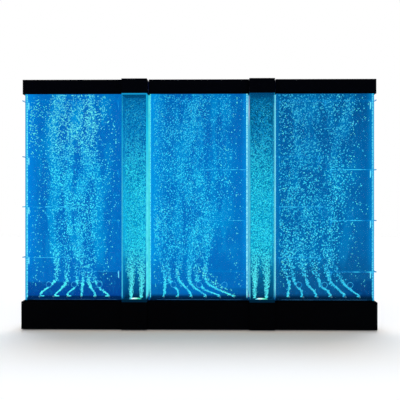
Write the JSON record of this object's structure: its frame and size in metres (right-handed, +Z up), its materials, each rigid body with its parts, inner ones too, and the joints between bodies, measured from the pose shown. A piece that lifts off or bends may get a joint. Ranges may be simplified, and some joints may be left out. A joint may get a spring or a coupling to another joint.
{
  "type": "bubble water wall",
  "caption": "Free-standing lit bubble wall: thin water panels with shelves and square bubble columns on a long black base, under lift-off caps.",
  "frame": {"origin": "centre of the outer box at the floor, under the feet", "axes": "+Z up, the shelves face -Y, +X to the right of someone who faces them"},
  "size_m": [2.7, 0.3198, 1.912],
  "materials": {
    "gloss_black": "gloss",
    "satin_black": "satin",
    "black_board": "gloss",
    "clear_acrylic": "gloss",
    "opal_acrylic": "satin",
    "water": "gloss",
    "light_lens": "gloss",
    "aluminium": "satin",
    "grey_plastic": "matte",
    "black_plastic": "matte",
    "blue_enamel": "satin",
    "hose": "satin"
  },
  "bodies": {
    "wall": {"base_cabinet_left": "black_board", "base_cabinet_centre": "black_board", "base_cabinet_right": "black_board", "base_floor": "satin_black", "air_pump": "blue_enamel", "air_rail": "grey_plastic", "air_hose": "hose", "light_controller": "grey_plastic", "power_supply": "aluminium", "mains_inlet": "black_plastic", "panel_light_left": "light_lens", "panel_light_centre": "light_lens", "panel_light_right": "light_lens", "column_light_left": "light_lens", "column_light_right": "light_lens", "front_sheet_left": "clear_acrylic", "tank_body_left": "opal_acrylic", "panel_water_left": "water", "front_sheet_centre": "clear_acrylic", "tank_body_centre": "opal_acrylic", "panel_water_centre": "water", "front_sheet_right": "clear_acrylic", "tank_body_right": "opal_acrylic", "panel_water_right": "water", "column_tank_left": "clear_acrylic", "column_water_left": "water", "column_tank_right": "clear_acrylic", "column_water_right": "water", "shelf_left_top": "clear_acrylic", "shelf_left_a1": "clear_acrylic", "shelf_left_a2": "clear_acrylic", "shelf_left_a3": "clear_acrylic", "shelf_left_b1": "clear_acrylic", "shelf_left_b2": "clear_acrylic", "shelf_left_b3": "clear_acrylic", "shelf_centre_top": "clear_acrylic", "shelf_centre_a1": "clear_acrylic", "shelf_centre_a2": "clear_acrylic", "shelf_centre_a3": "clear_acrylic", "shelf_centre_b1": "clear_acrylic", "shelf_centre_b2": "clear_acrylic", "shelf_centre_b3": "clear_acrylic", "shelf_right_top": "clear_acrylic", "shelf_right_a1": "clear_acrylic", "shelf_right_a2": "clear_acrylic", "shelf_right_a3": "clear_acrylic", "shelf_right_b1": "clear_acrylic", "shelf_right_b2": "clear_acrylic", "shelf_right_b3": "clear_acrylic"},
    "door_left": {"service_door_left": "satin_black"},
    "door_centre": {"service_door_centre": "satin_black"},
    "door_right": {"service_door_right": "satin_black"},
    "cap_left": {"panel_cap_left": "gloss_black"},
    "cap_centre": {"panel_cap_centre": "gloss_black"},
    "cap_right": {"panel_cap_right": "gloss_black"},
    "column_cap_left": {"column_cap_left": "gloss_black"},
    "column_cap_right": {"column_cap_right": "gloss_black"},
    "flow_knob": {"air_flow_knob": "black_plastic"},
    "rocker": {"rocker_switch": "grey_plastic"}
  },
  "joints": [
    {"name": "service_door_left_hinge", "type": "hinge", "parent": "wall", "child": "door_left", "pos_m": [-0.968, 0.1565, 0.023], "axis": [-1, 0, 0], "range_deg": [0, 90]},
    {"name": "service_door_centre_hinge", "type": "hinge", "parent": "wall", "child": "door_centre", "pos_m": [0, 0.1565, 0.023], "axis": [-1, 0, 0], "range_deg": [0, 90]},
    {"name": "service_door_right_hinge", "type": "hinge", "parent": "wall", "child": "door_right", "pos_m": [0.968, 0.1565, 0.023], "axis": [-1, 0, 0], "range_deg": [0, 90]},
    {"name": "panel_cap_left_lift", "type": "slide", "parent": "wall", "child": "cap_left", "axis": [0, 0, 1], "range_m": [0, 0.15]},
    {"name": "panel_cap_centre_lift", "type": "slide", "parent": "wall", "child": "cap_centre", "axis": [0, 0, 1], "range_m": [0, 0.15]},
    {"name": "panel_cap_right_lift", "type": "slide", "parent": "wall", "child": "cap_right", "axis": [0, 0, 1], "range_m": [0, 0.15]},
    {"name": "column_cap_left_lift", "type": "slide", "parent": "wall", "child": "column_cap_left", "axis": [0, 0, 1], "range_m": [0, 0.15]},
    {"name": "column_cap_right_lift", "type": "slide", "parent": "wall", "child": "column_cap_right", "axis": [0, 0, 1], "range_m": [0, 0.15]},
    {"name": "air_flow_knob_turn", "type": "hinge", "parent": "wall", "child": "flow_knob", "pos_m": [0.35, 0.092, 0.2255], "axis": [0, 0, 1], "range_deg": [0, 270]},
    {"name": "rocker_switch_tilt", "type": "hinge", "parent": "wall", "child": "rocker", "pos_m": [-0.51888, 0.1511, 0.125], "axis": [-1, 0, 0], "range_deg": [0, 14]}
  ]
}
